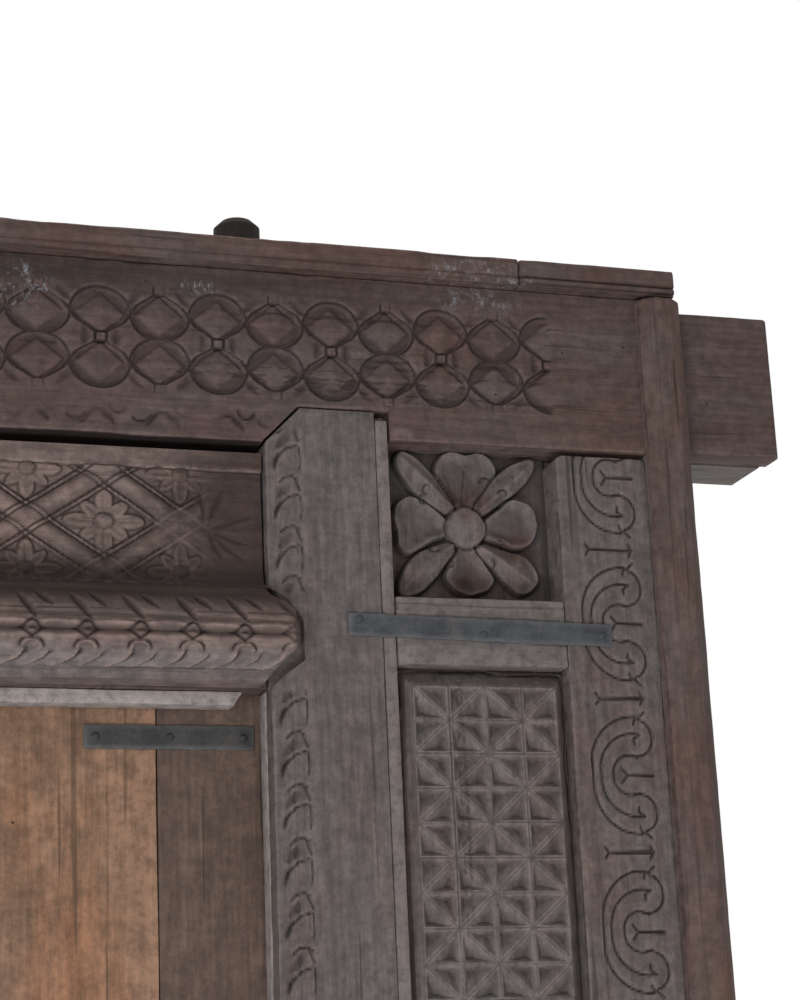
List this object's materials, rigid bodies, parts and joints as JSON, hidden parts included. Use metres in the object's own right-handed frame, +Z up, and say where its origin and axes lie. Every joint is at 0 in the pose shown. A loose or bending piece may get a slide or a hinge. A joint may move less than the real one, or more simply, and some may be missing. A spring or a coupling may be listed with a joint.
{
  "type": "carved temple door",
  "caption": "Double-leaf hardwood door hung on wooden pintles in a carved surround with horned lintel, side bays of flower and star panels, scrolled stiles and a rolled frieze.",
  "frame": {"origin": "middle of the sill beam's underside, at mid-depth of the frame's timbers", "axes": "+X along the sill to the right seen from outside, +Y into the building, +Z up"},
  "size_m": [2.558, 0.18, 2.462],
  "materials": {
    "carved_wood": "aged, waxed dark hardwood",
    "leaf_wood": "worn planed boards",
    "leaf_stile_wood": "worn planed timber",
    "weathered_wood": "bare, weathered pale",
    "iron": "forged, dark patina"
  },
  "bodies": {
    "frame": {"sill_beam": "carved_wood", "lintel_beam": "carved_wood", "rear_lintel": "carved_wood", "cornice_board": "carved_wood", "cornice_end_piece": "carved_wood", "inner_lintel": "carved_wood", "roll_moulding": "carved_wood", "head_strip": "weathered_wood", "frame_strap_nails": "iron", "jamb_left": "carved_wood", "jamb_right": "carved_wood", "stop_lath_left": "weathered_wood", "stop_lath_right": "weathered_wood", "jamb_fillet_left": "carved_wood", "jamb_fillet_right": "carved_wood", "bottom_rail_left": "carved_wood", "bottom_rail_right": "carved_wood", "lower_rail_left": "carved_wood", "lower_rail_right": "carved_wood", "middle_rail_left": "carved_wood", "middle_rail_right": "carved_wood", "upper_rail_left": "carved_wood", "upper_rail_right": "carved_wood", "lower_panel_left": "carved_wood", "lower_panel_right": "carved_wood", "middle_panel_left": "carved_wood", "middle_panel_right": "carved_wood", "star_panel_left": "carved_wood", "star_panel_right": "carved_wood", "rosette_panel_left": "carved_wood", "rosette_panel_right": "carved_wood", "edge_stile_left": "carved_wood", "edge_stile_right": "carved_wood", "outer_post_left": "carved_wood", "outer_post_right": "carved_wood", "edge_batten_left": "carved_wood", "edge_batten_right": "carved_wood", "frame_strap_left": "iron", "frame_strap_right": "iron"},
    "left_leaf": {"hinge_stile_left": "leaf_stile_wood", "meeting_board_left": "leaf_wood", "hinge_board_left": "leaf_wood", "lower_ledge_left": "leaf_wood", "middle_ledge_left": "leaf_wood", "upper_ledge_left": "leaf_wood", "upper_leaf_strap_left": "iron", "lower_leaf_strap_left": "iron", "leaf_strap_nails_left": "iron"},
    "right_leaf": {"hinge_stile_right": "leaf_stile_wood", "meeting_board_right": "leaf_wood", "hinge_board_right": "leaf_wood", "lower_ledge_right": "leaf_wood", "middle_ledge_right": "leaf_wood", "upper_ledge_right": "leaf_wood", "upper_leaf_strap_right": "iron", "lower_leaf_strap_right": "iron", "leaf_strap_nails_right": "iron"}
  },
  "joints": [
    {"name": "left_leaf_hinge", "type": "hinge", "parent": "frame", "child": "left_leaf", "pos_m": [-0.61, 0.028, 0.13], "axis": [0, 0, 1], "range_deg": [0, 90]},
    {"name": "right_leaf_hinge", "type": "hinge", "parent": "frame", "child": "right_leaf", "pos_m": [0.61, 0.028, 0.13], "axis": [0, 0, -1], "range_deg": [0, 90]}
  ]
}
